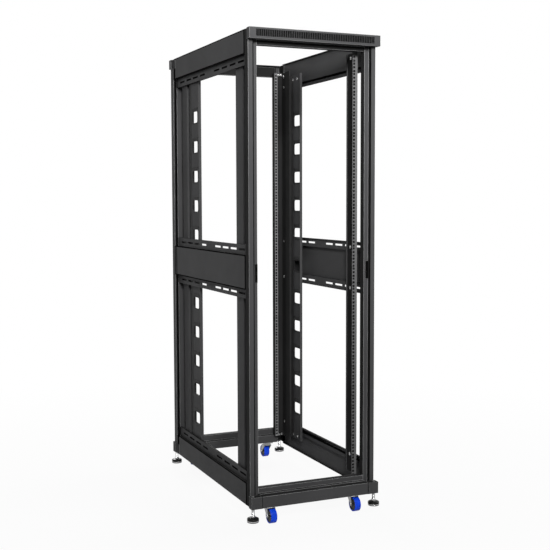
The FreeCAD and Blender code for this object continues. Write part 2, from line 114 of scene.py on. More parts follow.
# %% Edit mode
def edit_faces(piece, chosen):
    """Enter edit mode with only the chosen faces selected; the test gets a polygon."""
    select_only(piece)
    bpy.ops.object.mode_set(mode="EDIT")
    bpy.ops.mesh.select_mode(type="FACE")
    bpy.ops.mesh.select_all(action="DESELECT")
    bpy.ops.object.mode_set(mode="OBJECT")
    for polygon in piece.data.polygons:
        polygon.select = chosen(polygon)
    bpy.ops.object.mode_set(mode="EDIT")


def leave_edit(piece, smooth_angle=None):
    bpy.ops.object.mode_set(mode="OBJECT")
    if smooth_angle:
        select_only(piece)
        bpy.ops.object.shade_smooth_by_angle(angle=math.radians(smooth_angle))
    return piece

# %% [markdown]
# Copies keep a mesh of their own.  A CAD node comes as loose triangles, so a copy that is to be
# cut or bevelled is welded first, and its flat faces are made whole again.

# %% Joining and copying
def join(pieces, name):
    """Join several shapes into one piece."""
    bpy.ops.object.select_all(action="DESELECT")
    for piece in pieces:
        piece.select_set(True)
    bpy.context.view_layer.objects.active = pieces[0]
    bpy.ops.object.join()
    pieces[0].name = name
    pieces[0].data.name = name
    return pieces[0]


def copy_to(master, name, offset, turn=0.0):
    """A copy with a mesh of its own, moved and turned about Z inside that mesh."""
    piece = master.copy()
    piece.data = master.data.copy()
    piece.name = name
    piece.data.name = name
    piece.data.transform(Matrix.Translation(offset) @ Matrix.Rotation(turn, 4, "Z"))
    bpy.context.scene.collection.objects.link(piece)
    return piece


def merged_copy(node_name, name):
    """A clean copy of a CAD node: welded, with its flat faces whole again."""
    node = nodes[node_name]
    piece = node.copy()
    piece.data = node.data.copy()
    bpy.context.scene.collection.objects.link(piece)
    for key in [key for key in piece.keys() if key.startswith("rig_")]:
        del piece[key]
    piece.parent = None
    piece.name = name
    piece.data.name = name
    select_only(piece)
    bpy.ops.object.mode_set(mode="EDIT")
    bpy.ops.mesh.select_all(action="SELECT")
    bpy.ops.mesh.remove_doubles(threshold=1e-5)
    bpy.ops.mesh.dissolve_limited(angle_limit=math.radians(1))
    bpy.ops.mesh.normals_make_consistent(inside=False)
    bpy.ops.object.mode_set(mode="OBJECT")
    return piece

# %% [markdown]
# Weighted normals after the bevel keep large flat faces evenly lit up to their edges.

# %% Cutting, easing and finishing
def carve(piece, cutter):
    """Take a cutter out of a piece and throw the cutter away."""
    add_modifier(piece, "BOOLEAN", operation="DIFFERENCE", solver="EXACT", object=cutter)
    bpy.data.objects.remove(cutter)


def ease_edges(piece, width, segments=2):
    """Round the sharp edges a little, as bent and painted sheet has them."""
    add_modifier(
        piece, "BEVEL", width=width, segments=segments, limit_method="ANGLE",
        angle_limit=math.radians(40), use_clamp_overlap=True, harden_normals=False,
    )
    leave_edit(piece, smooth_angle=35)
    return add_modifier(piece, "WEIGHTED_NORMAL", keep_sharp=True)


def round_shoulders(piece, width, segments, angle):
    """Bevel only the edges that turn by more than the angle, in degrees."""
    return add_modifier(
        piece, "BEVEL", width=width, segments=segments,
        limit_method="ANGLE", angle_limit=math.radians(angle),
    )


def finish_piece(piece, body, material):
    piece.data.materials.clear()
    piece.data.materials.append(material)
    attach(piece, body)
    return piece


def add_coat(piece, material, chosen):
    """Give the chosen faces a second material; the rest keep the first."""
    piece.data.materials.append(material)
    edit_faces(piece, chosen)
    piece.active_material_index = len(piece.data.materials) - 1
    bpy.ops.object.material_slot_assign()
    return leave_edit(piece)

# %% [markdown]
# ## Black powder coat
# The frame is sprayed with a dry polyester powder and baked.  The paint flows into a satin skin
# that is never quite flat: it keeps a fine orange peel, and its tone and gloss drift a little
# from place to place.  Noise textures on Object coordinates give all three, a fine one as bump
# and two broader ones for colour and roughness, so that the grain stays the same size on every
# part.  The real rack most likely has one coat all over.  Here it comes in five shades: the
# plain one, a darker one that paints shade on recesses, inner faces and folds, a pale one that
# paints a highlight on the bevels, and two paler ones that paint light on the rails' hole
# strips, the rear one nearly twice as light as the front one.  Light alone doesn't set so many
# near black faces apart here, so this shade and light are painted, and the shades are matched
# one by one.

# %% Material helpers
def new_material(name):
    material = bpy.data.materials.new(name)
    material.use_nodes = True
    tree = material.node_tree
    shader = tree.nodes["Principled BSDF"]
    place = tree.nodes.new("ShaderNodeTexCoord")
    return material, tree, shader, place.outputs["Object"]


def noise(tree, place, scale, detail=3.0, roughness=0.5):
    texture = tree.nodes.new("ShaderNodeTexNoise")
    texture.inputs["Scale"].default_value = scale
    texture.inputs["Detail"].default_value = detail
    texture.inputs["Roughness"].default_value = roughness
    tree.links.new(place, texture.inputs["Vector"])
    return texture.outputs["Fac"]


def ramp(tree, value, stops):
    """A colour ramp through (position, grey or colour) stops."""
    made = tree.nodes.new("ShaderNodeValToRGB")
    for index, (position, colour) in enumerate(stops):
        rgb = colour if isinstance(colour, tuple) else (colour, colour, colour)
        if index < 2:
            stop = made.color_ramp.elements[index]
            stop.position = position
        else:
            stop = made.color_ramp.elements.new(position)
        stop.color = (*rgb, 1.0)
    tree.links.new(value, made.inputs["Fac"])
    return made.outputs["Color"]


def bump(tree, shader, height, strength, distance):
    made = tree.nodes.new("ShaderNodeBump")
    made.inputs["Strength"].default_value = strength
    made.inputs["Distance"].default_value = distance
    tree.links.new(height, made.inputs["Height"])
    tree.links.new(made.outputs["Normal"], shader.inputs["Normal"])

# %% Powder coat
def make_powder_coat(name, dark, light, gloss_low, gloss_high, shine=0.5):
    material, tree, shader, place = new_material(name)
    drift = noise(tree, place, 3.0, detail=4.0)
    tree.links.new(ramp(tree, drift, [(0.3, dark), (0.7, light)]), shader.inputs["Base Color"])
    shader.inputs["Specular IOR Level"].default_value = shine
    gloss = noise(tree, place, 18.0)
    tree.links.new(
        ramp(tree, gloss, [(0.25, gloss_low), (0.75, gloss_high)]), shader.inputs["Roughness"]
    )
    peel = noise(tree, place, 900.0, detail=2.0)
    bump(tree, shader, peel, 0.12, 0.0004)
    return material


powder_coat = make_powder_coat(
    "black_powder_coat", (0.044, 0.044, 0.045), (0.055, 0.055, 0.056), 0.38, 0.46, shine=0.015
)
# A near black coat that paints shade on recesses, inner faces and folds.
painted_shade_coat = make_powder_coat(
    "painted_shade_powder", (0.012, 0.012, 0.012), (0.020, 0.020, 0.020), 0.6, 0.7, shine=0.02
)
# Paler coats that paint light on the rails' hole strips; the rear one is lighter still, to make up
# for the shade it stands in.
painted_light_front_strip = make_powder_coat(
    "rail_face_coat", (0.085, 0.085, 0.086), (0.105, 0.105, 0.106), 0.40, 0.50, shine=0.04
)
painted_light_rear_strip = make_powder_coat(
    "rear_rail_face_coat", (0.150, 0.150, 0.152), (0.180, 0.180, 0.182), 0.40, 0.50, shine=0.04
)
# A pale coat that paints a highlight on the bevels along edges.
painted_highlight_edge_coat = make_powder_coat(
    "edge_highlight_paint", (0.200, 0.200, 0.202), (0.250, 0.250, 0.252), 0.30, 0.36, shine=0.3
)
print("powder coats ready")

# %% [markdown]
# ## Zinc plate
# Caster forks, plates and bolts are plated with a greyish zinc; studs, rings and screws are of
# brighter steel.  Both are metals, so they take their look from what they mirror, and small
# cells of slightly different gloss break the reflection up.  Rubber, plastic and the near black
# that paints shade are made by a second function: a nearly even colour with a fine dry grain.

# %% Zinc, bright steel, rubber and the near black of painted shade
def make_zinc(name, tone, gloss_low, gloss_high):
    material, tree, shader, place = new_material(name)
    shader.inputs["Metallic"].default_value = 1.0
    cells = tree.nodes.new("ShaderNodeTexVoronoi")
    cells.inputs["Scale"].default_value = 240.0
    tree.links.new(place, cells.inputs["Vector"])
    tree.links.new(
        ramp(tree, cells.outputs["Distance"], [(0.0, gloss_high), (0.6, gloss_low)]),
        shader.inputs["Roughness"],
    )
    cloud = noise(tree, place, 60.0, detail=4.0)
    darker = tuple(0.82 * channel for channel in tone)
    tree.links.new(ramp(tree, cloud, [(0.3, darker), (0.7, tone)]), shader.inputs["Base Color"])
    bump(tree, shader, noise(tree, place, 1500.0), 0.08, 0.0002)
    return material


zinc = make_zinc("grey_zinc", (0.27, 0.27, 0.27), 0.22, 0.38)
stud_steel = make_zinc("bright_steel", (0.48, 0.48, 0.48), 0.26, 0.36)


def make_plain_moulding(name, dark, light, gloss, grain, shine=0.1):
    """Moulded rubber or plastic: nearly even colour with a fine dry grain."""
    material, tree, shader, place = new_material(name)
    drift = noise(tree, place, 40.0, detail=3.0)
    tree.links.new(ramp(tree, drift, [(0.3, dark), (0.7, light)]), shader.inputs["Base Color"])
    shader.inputs["Specular IOR Level"].default_value = shine
    wear = noise(tree, place, 130.0, detail=5.0)
    tree.links.new(
        ramp(tree, wear, [(0.3, gloss - 0.06), (0.7, gloss + 0.06)]), shader.inputs["Roughness"]
    )
    bump(tree, shader, noise(tree, place, 1400.0), grain, 0.0003)
    return material


rubber = make_plain_moulding(
    "black_rubber", (0.006, 0.006, 0.006), (0.012, 0.012, 0.012), gloss=0.55, grain=0.2
)
foot_black = make_plain_moulding(
    "foot_black", (0.004, 0.004, 0.004), (0.008, 0.008, 0.008), gloss=0.3, grain=0.1
)
hub_black = make_plain_moulding(
    "hub_black", (0.008, 0.008, 0.010), (0.014, 0.014, 0.018), gloss=0.4, grain=0.1
)
wheel_blue = make_plain_moulding(
    "wheel_blue", (0.004, 0.042, 0.50), (0.007, 0.058, 0.66), gloss=0.34, grain=0.1
)
# A near black without shine that only paints shade in seams, slots and recesses.
near_black_painted_shade = make_plain_moulding(
    "near_black_painted_shade", (0.0015, 0.0015, 0.0015), (0.004, 0.004, 0.004), gloss=0.9, grain=0.3, shine=0.0
)
print("materials:", len(bpy.data.materials))

# %% [markdown]
# ## Finishes of the CAD nodes
# The record says which finish each node has, by a slot name.  Each node gets the material of its
# slot before anything else is made, so that none is left bare.

# %% Dress the CAD nodes
finishes = {
    "black_powder_coat": powder_coat,
    "zinc_plate": zinc,
    "blue_wheel": hub_black,
    "foot_black": foot_black,
}
slot_of = {part["node"]: part["material_slot"] for part in frame["record"]["subparts"]}
for name, node in nodes.items():
    node.data.materials.clear()
    node.data.materials.append(finishes[slot_of[name]])
print("dressed", len(nodes), "nodes")

# %% [markdown]
# ## Eased edges
# Bent sheet never has a knife edge.  The posts, members, bars, blocks and side panels get clean
# copies whose sharp edges are rounded by a small Bevel.  Faces are then picked by where they
# look.  Faces that look to the middle, the front posts' outer faces, the tops of the base bars,
# blocks and bottom members, the side panels' fold steps and the whole top members get painted
# shade.  The bevels of all but the side panels get a painted highlight, the thin bright line
# along a fold that makes painted steel look like steel.  The rear right post's front faces get
# painted shade too, though its twin's don't: that shade is matched one by one and is no feature
# of the rack.

# %% Ease the edges of the frame's steel
EDGE_WIDTH = 0.9 * MM


def lies_on_an_edge(face):
    return max(abs(part) for part in face.normal) < 0.97


def faces_the_middle(side_sign):
    return lambda face: side_sign * face.normal.x < -0.9


EASED = [
    f"{end}_{side}_{part}"
    for end in ENDS for side in SIDES for part in ("post", "corner_block")
]
EASED += [f"{end}_{part}" for end in ENDS for part in ("base_bar", "top_member", "bottom_member")]
EASED += [f"{side}_{level}_side_panel" for side in SIDES for level in ("top", "middle", "bottom")]
for name in EASED:
    eased = merged_copy(name, name + "_eased")
    ease_edges(eased, EDGE_WIDTH)
    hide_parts(name)
    # The top members are painted shade all over.
    coat = painted_shade_coat if name.endswith("top_member") else powder_coat
    finish_piece(eased, "frame", coat)
    # Painted shade on the faces that look to the middle, and on the front posts' outer faces too.
    if name.endswith("post"):
        side_sign = -1 if "left" in name else 1
        add_coat(eased, painted_shade_coat, faces_the_middle(side_sign))
        if name.startswith("front"):
            add_coat(eased, painted_shade_coat, faces_the_middle(-side_sign))
    # Painted shade on the front faces of this one post only.
    if name == "rear_right_post":
        add_coat(eased, painted_shade_coat, lambda face: face.normal.y < -0.9)
    # Painted shade on the tops of the base bars, blocks and bottom members.
    if name.endswith(("base_bar", "corner_block", "bottom_member")):
        add_coat(eased, painted_shade_coat, lambda face: face.normal.z > 0.9)
    # Painted shade on the side panels' fold steps; a painted highlight on the other pieces' bevels.
    if name.endswith("side_panel"):
        add_coat(eased, painted_shade_coat, lambda face: abs(face.normal.z) > 0.5)
    else:
        add_coat(eased, painted_highlight_edge_coat, lies_on_an_edge)
print("eased", len(EASED), "pieces")

# %% [markdown]
# ## Vent slots in the top covers
# The front cover has a long row of upright slots punched through it, and the rear one gets the
# same row by symmetry.  A copy of the CAD cover is merged into one clean mesh, and a row of thin
# cutters is taken out of it with a Boolean.  The cutter is modelled once and an Array repeats it
# along the cover.  The cover's bevels get a painted highlight and the slots' side walls painted
# shade.  A near black sheet stands behind the slots and paints shade there, so that they read
# black and no daylight shows through.

# %% Cut the vents
VENT_WIDTH = 6.2 * MM
VENT_HEIGHT = 28.0 * MM
VENT_PITCH = 8.1 * MM
VENT_MARGIN = 30.0 * MM
VENT_DROP = 7.5 * MM


def cut_vents(end, sign):
    low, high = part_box(end + "_top_cover")
    cover = merged_copy(end + "_top_cover", end + "_vented_cover")
    ease_edges(cover, 0.6 * MM)
    face = low.y if sign < 0 else high.y
    first = low.x + VENT_MARGIN
    count = int((high.x - low.x - 2 * VENT_MARGIN) / VENT_PITCH) + 1
    top = high.z - VENT_DROP
    cutter = box_piece(
        end + "_vent_cutter",
        (first, face - 3 * MM, top - VENT_HEIGHT),
        (first + VENT_WIDTH, face + 3 * MM, top),
    )
    add_modifier(
        cutter, "ARRAY", count=count, use_relative_offset=False,
        use_constant_offset=True, constant_offset_displace=(VENT_PITCH, 0, 0),
    )
    carve(cover, cutter)
    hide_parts(end + "_top_cover")
    finish_piece(cover, "frame", powder_coat)
    # The cover's bevels get a painted highlight and the slots' side walls painted shade.
    add_coat(cover, painted_highlight_edge_coat, lies_on_an_edge)
    last = -first + 1 * MM
    add_coat(
        cover, near_black_painted_shade,
        lambda wall: abs(wall.normal.x) > 0.9 and first - 1 * MM < wall.center.x < last,
    )
    # A near black sheet behind the slots paints shade there.
    back = face - sign * 6 * MM
    shade_sheet = box_piece(
        end + "_vent_shade_sheet",
        (first - 8 * MM, back - 1 * MM, top - VENT_HEIGHT - 6 * MM),
        (first + count * VENT_PITCH + 5 * MM, back + 1 * MM, top + 6 * MM),
    )
    ease_edges(shade_sheet, 0.5 * MM)
    finish_piece(shade_sheet, "frame", near_black_painted_shade)
    print(cover.name, count, "slots", len(cover.data.polygons), "faces")


for end, sign in ENDS.items():
    cut_vents(end, sign)

# %% [markdown]
# ## Square holes in the rear rails
# Every rack unit of 44.45 mm has three square holes for cage nuts, the middle one half way up
# and the outer two 6.35 mm from its ends.  The front rails bring them from the CAD model; the
# rear rails are punched here in the same way.  Three cutters make one unit and an Array
# repeats them 42 times.

# %% Punch the rear rails
UNIT = 44.45 * MM
UNITS = 42
HOLE = 9.5 * MM
HOLE_RISES = (6.35 * MM, UNIT / 2, UNIT - 6.35 * MM)
HOLE_LINE = 465.1 * MM / 2
front_low, front_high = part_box("front_left_rail")
FIRST_UNIT = front_low.z + 6.65 * MM
RAIL_FOLD = 8 * MM


def punch_rear_rail(side, sign):
    low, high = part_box(f"rear_{side}_rail")
    rail = merged_copy(f"rear_{side}_rail", f"rear_{side}_punched_rail")
    face = high.y - RAIL_FOLD
    cutters = []
    for rise in HOLE_RISES:
        centre = Vector((sign * HOLE_LINE, face, FIRST_UNIT + rise))
        half = Vector((HOLE / 2, 6 * MM, HOLE / 2))
        cutters.append(box_piece("hole_cutter", centre - half, centre + half))
    cutter = join(cutters, "unit_cutter")
    add_modifier(
        cutter, "ARRAY", count=UNITS, use_relative_offset=False,
        use_constant_offset=True, constant_offset_displace=(0, 0, UNIT),
    )
    carve(rail, cutter)
    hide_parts(f"rear_{side}_rail")
    print(rail.name, len(rail.data.polygons), "faces")


for side, sign in SIDES.items():
    punch_rear_rail(side, sign)

# %% [markdown]
# ## Painted light and shade on the rails
# Only the strip with the holes has a paler coat, which paints light on it; the rear strips' coat
# is lighter still, to make up for the shade they stand in.  Faces that look to the middle, and
# the rest of a rear rail's front face, get painted shade.  Faces are picked by where they look
# and where they lie.  The front face of a rear rail is cut in two along the strip's edge by
# Bisect, because a face can't have two materials.

# %% Coat the rails
STRIP_EDGE = 241 * MM


def faces_the_front_at(y):
    return lambda face: face.normal.y < -0.9 and abs(face.center.y - y) < 0.5 * MM


for side, sign in SIDES.items():
    low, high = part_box(f"front_{side}_rail")
    rail = merged_copy(f"front_{side}_rail", f"front_{side}_coated_rail")
    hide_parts(f"front_{side}_rail")
    finish_piece(rail, "frame", powder_coat)
    # Painted shade on the faces that look to the middle, painted light on the front strip.
    add_coat(rail, painted_shade_coat, faces_the_middle(sign))
    add_coat(rail, painted_light_front_strip, faces_the_front_at(low.y))
    low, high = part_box(f"rear_{side}_rail")
    rail = bpy.data.objects[f"rear_{side}_punched_rail"]
    finish_piece(rail, "frame", powder_coat)
    add_coat(rail, painted_shade_coat, faces_the_middle(sign))
    select_only(rail)
    bpy.ops.object.mode_set(mode="EDIT")
    bpy.ops.mesh.select_all(action="SELECT")
    bpy.ops.mesh.bisect(plane_co=(sign * STRIP_EDGE, 0, 0), plane_no=(1, 0, 0))
    bpy.ops.object.mode_set(mode="OBJECT")
    # Painted light on the strip, painted shade on the rest of the front face.
    at_face = faces_the_front_at(high.y - RAIL_FOLD)
    add_coat(rail, painted_light_rear_strip, lambda face: at_face(face) and abs(face.center.x) < STRIP_EDGE)
    add_coat(rail, painted_shade_coat, lambda face: at_face(face) and abs(face.center.x) > STRIP_EDGE)
print("rails coated")

# %% [markdown]
# ## Returns of the rear rails
# A dark band of shade runs beside the row of holes of each rear rail.  A thin sheet is put there
# as a return folded back from the rail's inner edge, starting inside the rail's own fold, and its
# near black coat paints that shade.

# %% Rear rail returns
RETURN_DEPTH = 24 * MM
for side, sign in SIDES.items():
    low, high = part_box(f"rear_{side}_rail")
    inner = high.x if sign < 0 else low.x
    near, far = sorted((inner, inner + sign * 1.5 * MM))
    sheet = box_piece(
        f"rear_{side}_rail_shade_return",
        (near, high.y - 0.5 * MM, low.z), (far, high.y + RETURN_DEPTH, high.z),
    )
    ease_edges(sheet, 0.5 * MM)
    # The return's coat paints shade.
    finish_piece(sheet, "frame", painted_shade_coat)
print("rail returns placed")

# %% [markdown]
# ## Edge strips beside the rear rails
# A dark band of shade lies between each cable panel and the rear rail.  It is painted with a
# black rubber strip on the panel's rear edge, a long bar with well rounded edges that wraps the
# panel's fold.

# %% Edge strips
for side, sign in SIDES.items():
    low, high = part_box(f"{side}_cable_panel")
    strip = box_piece(
        f"{side}_edge_shade_strip",
        (low.x - 0.8 * MM, high.y - 16 * MM, low.z + 2 * MM),
        (high.x + 0.8 * MM, high.y + 5.5 * MM, high.z - 2 * MM),
    )
    ease_edges(strip, 1.5 * MM, segments=3)
    finish_piece(strip, "frame", rubber)
print("edge strips placed")

# %% [markdown]
# ## Shade lines beside the corner blocks
# A dark line of shade parts each base bar from its corner blocks.  It is painted here as a thin
# near black bar, a small block with eased edges.

# %% Shade lines at the corner blocks
for end, sign_y in ENDS.items():
    bar_low, bar_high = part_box(f"{end}_base_bar")
    face = bar_low.y if sign_y < 0 else bar_high.y
    for side, sign_x in SIDES.items():
        edge = bar_low.x if sign_x < 0 else bar_high.x
        near_x, far_x = sorted((edge, edge - sign_x * 3.6 * MM))
        near_y, far_y = sorted((face + sign_y * 0.6 * MM, face - sign_y * 6 * MM))
        # A near black bar that paints the shade line at the seam.
        seam_shade_bar = box_piece(
            f"{end}_{side}_gasket", (near_x, near_y, bar_low.z), (far_x, far_y, bar_high.z)
        )
        ease_edges(seam_shade_bar, 0.3 * MM)
        finish_piece(seam_shade_bar, "frame", near_black_painted_shade)
print("gaskets placed")

# %% [markdown]
# ## Shade lines round the side panels
# Each side panel has a raised middle and recessed strips with the slots, and a dark line of
# shade runs round the raised part.  It is painted here with thin near black bars with eased
# edges, one along every seam, joined into one piece per panel.

# %% Panel shade lines
STRIP_HEIGHT = 41 * MM
STRIP_STEP = 14 * MM
SHADE_LINE = 4.5 * MM
END_SHADE_LINE = 10 * MM
PROUD = 0.35 * MM


def shade_line_bar(outer, sign, recess, low_yz, high_yz):
    near, far = sorted((outer - sign * (recess - PROUD), outer - sign * (recess + 1.2 * MM)))
    bar = box_piece("bar", (near, *low_yz), (far, *high_yz))
    return ease_edges(bar, 0.25 * MM)


for side, sign in SIDES.items():
    for level in ("top", "middle", "bottom"):
        low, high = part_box(f"{side}_{level}_side_panel")
        outer = low.x if sign < 0 else high.x
        foot = low.z if level == "bottom" else low.z + STRIP_HEIGHT
        head = high.z if level == "top" else high.z - STRIP_HEIGHT
        bars = []
        for start in (low.y, high.y - END_SHADE_LINE):
            stop = start + END_SHADE_LINE
            bars.append(shade_line_bar(outer, sign, 0.0, (start, foot), (stop, head)))
            if level != "bottom":
                bars.append(shade_line_bar(outer, sign, STRIP_STEP, (start, low.z), (stop, foot)))
            if level != "top":
                bars.append(shade_line_bar(outer, sign, STRIP_STEP, (start, head), (stop, high.z)))
        if level != "bottom":
            bars.append(shade_line_bar(outer, sign, 0.0, (low.y, foot), (high.y, foot + SHADE_LINE)))
        bars.append(shade_line_bar(outer, sign, 0.0, (low.y, head - SHADE_LINE), (high.y, head)))
        shade_line = join(bars, f"{side}_{level}_panel_shade_line")
        finish_piece(shade_line, "frame", near_black_painted_shade)
print("panel seals placed")

# %% [markdown]
# ## Shade in the latch slots
# Each front post has an upright slot half way up, which would take a door's latch.  It looks
# black with shade, so a near black bar with rounded edges fills it and paints that shade.  The
# left bar is wider than its slot and lies partly in the post's sheet, because the slot alone is
# too narrow to show.

# %% Shade in the latch slots
LATCH_FACE = -488.0 * MM
LATCH_LOW, LATCH_HIGH = 1018.4 * MM, 1095.6 * MM
LATCH_SPANS = {"left": (-260.0 * MM, -249.4 * MM), "right": (259.2 * MM, 269.8 * MM)}
for side, (near, far) in LATCH_SPANS.items():
    shade_fill = box_piece(
        f"{side}_latch_shade_fill",
        (near, LATCH_FACE, LATCH_LOW), (far, LATCH_FACE + 12 * MM, LATCH_HIGH),
    )
    ease_edges(shade_fill, 0.8 * MM, segments=3)
    finish_piece(shade_fill, "frame", near_black_painted_shade)
print("latch inserts placed")

# %% [markdown]
# ## Shade lines on the posts
# A dark seam of shade runs down the inner edge of each front post's nose, and down the rear
# posts' outer front corner.  Both are painted here as near black long bars with eased edges.
# The rear posts get the first one too, by symmetry.

# %% Post shade lines
NOSE_EDGE = 270 * MM
NOSE_SHADE_LINE = 4 * MM
POST_SIDE = 294 * MM
SHADE_LINE_PROUD = 0.4 * MM
SHADE_LINE_FOOT = 126 * MM
SHADE_LINE_BELOW_TOP = 46 * MM
for end, sign_y in ENDS.items():
    for side, sign_x in SIDES.items():
        low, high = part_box(f"{end}_{side}_post")
        face = low.y if sign_y < 0 else high.y
        near_x, far_x = sorted((sign_x * NOSE_EDGE, sign_x * (NOSE_EDGE + NOSE_SHADE_LINE)))
        near_y, far_y = sorted((face + sign_y * SHADE_LINE_PROUD, face - sign_y * 3 * MM))
        foot = SHADE_LINE_FOOT
        head = high.z - SHADE_LINE_BELOW_TOP
        bars = [box_piece("bar", (near_x, near_y, foot), (far_x, far_y, head))]
        if end == "rear":
            outer = sign_x * (POST_SIDE + SHADE_LINE_PROUD)
            near_x, far_x = sorted((outer, outer - sign_x * 5 * MM))
            bars.append(box_piece(
                "bar", (near_x, low.y - SHADE_LINE_PROUD, foot), (far_x, low.y + 10 * MM, head)
            ))
        for bar in bars:
            ease_edges(bar, 0.3 * MM)
        shade_line = join(bars, f"{end}_{side}_post_shade_line")
        finish_piece(shade_line, "frame", near_black_painted_shade)
print("door seals placed")

# %% [markdown]
# ## Painted shade behind the slotted strips
# The long slots of the top and bottom side panels look black with shade.  A thin near black
# strip lies behind them here and paints that shade.  Each one is a strip with eased edges, a
# little wider than its slots.

# %% Shade sheets behind the slots
for side, sign in SIDES.items():
    for level in ("top", "bottom"):
        low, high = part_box(f"{side}_{level}_side_panel")
        strip_z = low.z + STRIP_HEIGHT / 2 if level == "top" else high.z - STRIP_HEIGHT / 2
        outer = low.x if sign < 0 else high.x
        near, far = sorted((outer - sign * 15.7 * MM, outer - sign * 17.2 * MM))
        shade_sheet = box_piece(
            f"{side}_{level}_slot_shade_sheet",
            (near, low.y + 20 * MM, strip_z - 5 * MM),
            (far, high.y - 20 * MM, strip_z + 5 * MM),
        )
        ease_edges(shade_sheet, 0.5 * MM)
        finish_piece(shade_sheet, "frame", near_black_painted_shade)
print("slot liners placed")

# %% [markdown]
# ## Rubber trims of the cable windows
# Here a rubber section grips the edge of every cable window, as such windows often have it so
# that cables don't chafe, and a plain bar sits above it.  The trim starts as a block a little
# larger than the window.  Its four edges along X are bevelled round, the faces at its two ends
# are inset, and a bridge between the inset faces opens the middle.

# %% Model one trim for a window whose centre is the origin
WINDOW_WIDTH, WINDOW_HEIGHT = 78 * MM, 57 * MM
TRIM_LIP, TRIM_WALL = 3 * MM, 5 * MM
TRIM_DEPTH = 6 * MM


def along_x(vector):
    return abs(vector.x) > 0.99


def model_window_trim():
    half_y = WINDOW_WIDTH / 2 + TRIM_LIP
    half_z = WINDOW_HEIGHT / 2 + TRIM_LIP
    half_x = TRIM_DEPTH / 2
    trim = box_piece("trim", (-half_x, -half_y, -half_z), (half_x, half_y, half_z))
    select_only(trim)
    bpy.ops.object.mode_set(mode="EDIT")
    bpy.ops.mesh.select_mode(type="EDGE")
    bpy.ops.mesh.select_all(action="DESELECT")
    bpy.ops.object.mode_set(mode="OBJECT")
    for edge in trim.data.edges:
        start, end = (trim.data.vertices[index].co for index in edge.vertices)
        edge.select = along_x((end - start).normalized())
    bpy.ops.object.mode_set(mode="EDIT")
    bpy.ops.mesh.bevel(offset=15 * MM, segments=5)
    leave_edit(trim)
    edit_faces(trim, lambda polygon: along_x(polygon.normal))
    bpy.ops.mesh.inset(thickness=TRIM_WALL, use_individual=True)
    bpy.ops.mesh.bridge_edge_loops()
    leave_edit(trim)
    ease_edges(trim, 1.2 * MM, segments=2)
    bar_z = 39 * MM
    bar = box_piece("bar", (-3.5 * MM, -half_y, bar_z - 6 * MM), (2 * MM, half_y, bar_z + 6 * MM))
    ease_edges(bar, 2 * MM, segments=3)
    return join([trim, bar], "window_trim")


trim_master = model_window_trim()
print("trim", len(trim_master.data.polygons), "faces")

# %% Place a trim in every window
openings = {o["name"]: o["box_m"] for o in frame["record"]["physics"]["openings"]}
WINDOW_PITCH = 140 * MM
WINDOWS_IN_GROUP = 5


def middle_of(box_m):
    return (Vector(box_m[0]) + Vector(box_m[1])) / 2


for side, sign in SIDES.items():
    lowest = middle_of(openings[f"{side}_cable_window_1"])
    highest = middle_of(openings[f"{side}_cable_window_6"])
    rises = [lowest.z + step * WINDOW_PITCH for step in range(WINDOWS_IN_GROUP)]
    rises.append((lowest.z + highest.z) / 2)
    rises += [highest.z - step * WINDOW_PITCH for step in range(WINDOWS_IN_GROUP)]
    low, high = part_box(f"{side}_cable_panel")
    outer = low.x if sign < 0 else high.x
    trims = []
    for rise in rises:
        place = Vector((outer - sign * 1.8 * MM, lowest.y, rise))
        turn = 0.0 if sign < 0 else math.pi
        trims.append(copy_to(trim_master, f"{side}_trim", place, turn))
    trim = join(trims, f"{side}_window_trims")
    finish_piece(trim, "frame", rubber)
bpy.data.objects.remove(trim_master)
print("window trims placed")

# %% [markdown]
# ## Caster wheels
# Each wheel is a glossy blue tread moulded over a dark hub.  One wheel is modelled at the
# origin with its axle along X: the tread's two sides are inset and pushed in, which leaves the
# raised rim, and a bevel rounds the shoulders.  The hub gets the same treatment, then both are
# copied to the four corners.

# %% Model one wheel
low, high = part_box("front_left_caster_wheel")
WHEEL_RADIUS = (high.z - low.z) / 2
WHEEL_WIDTH = high.x - low.x
print("wheel", round(WHEEL_RADIUS * 2000, 1), "mm across,", round(WHEEL_WIDTH * 1000, 1), "mm wide")


def on_a_side(polygon):
    return abs(polygon.normal.x) > 0.9


def model_tread():
    tread = rod_piece("tread", WHEEL_RADIUS, WHEEL_WIDTH, (0, 0, 0), "X", sides=72)
    edit_faces(tread, on_a_side)
    bpy.ops.mesh.inset(thickness=0.14 * WHEEL_RADIUS, use_individual=True)
    bpy.ops.mesh.inset(thickness=0.02 * WHEEL_RADIUS, depth=-3.5 * MM, use_individual=True)
    leave_edit(tread)
    round_shoulders(tread, 2.2 * MM, 3, 50)
    return leave_edit(tread, smooth_angle=35)


def model_hub():
    hub = rod_piece("hub", 0.83 * WHEEL_RADIUS, WHEEL_WIDTH - 2 * MM, (0, 0, 0), "X", sides=48)
    edit_faces(hub, on_a_side)
    bpy.ops.mesh.inset(thickness=0.10 * WHEEL_RADIUS, use_individual=True)
    bpy.ops.mesh.inset(thickness=0.02 * WHEEL_RADIUS, depth=-1.2 * MM, use_individual=True)
    leave_edit(hub)
    round_shoulders(hub, 0.7 * MM, 2, 50)
    return leave_edit(hub, smooth_angle=35)


tread_master = model_tread()
hub_master = model_hub()

# %% Place the wheels
for end in ENDS:
    for side in SIDES:
        node = f"{end}_{side}_caster_wheel"
        low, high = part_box(node)
        middle = (low + high) / 2
        tread = copy_to(tread_master, f"{end}_{side}_tread", middle)
        finish_piece(tread, f"{end}_{side}_wheel", wheel_blue)
        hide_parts(node)
        hub = copy_to(hub_master, f"{end}_{side}_hub", middle)
        finish_piece(hub, f"{end}_{side}_wheel", hub_black)
for master in (tread_master, hub_master):
    bpy.data.objects.remove(master)
print("wheels placed")

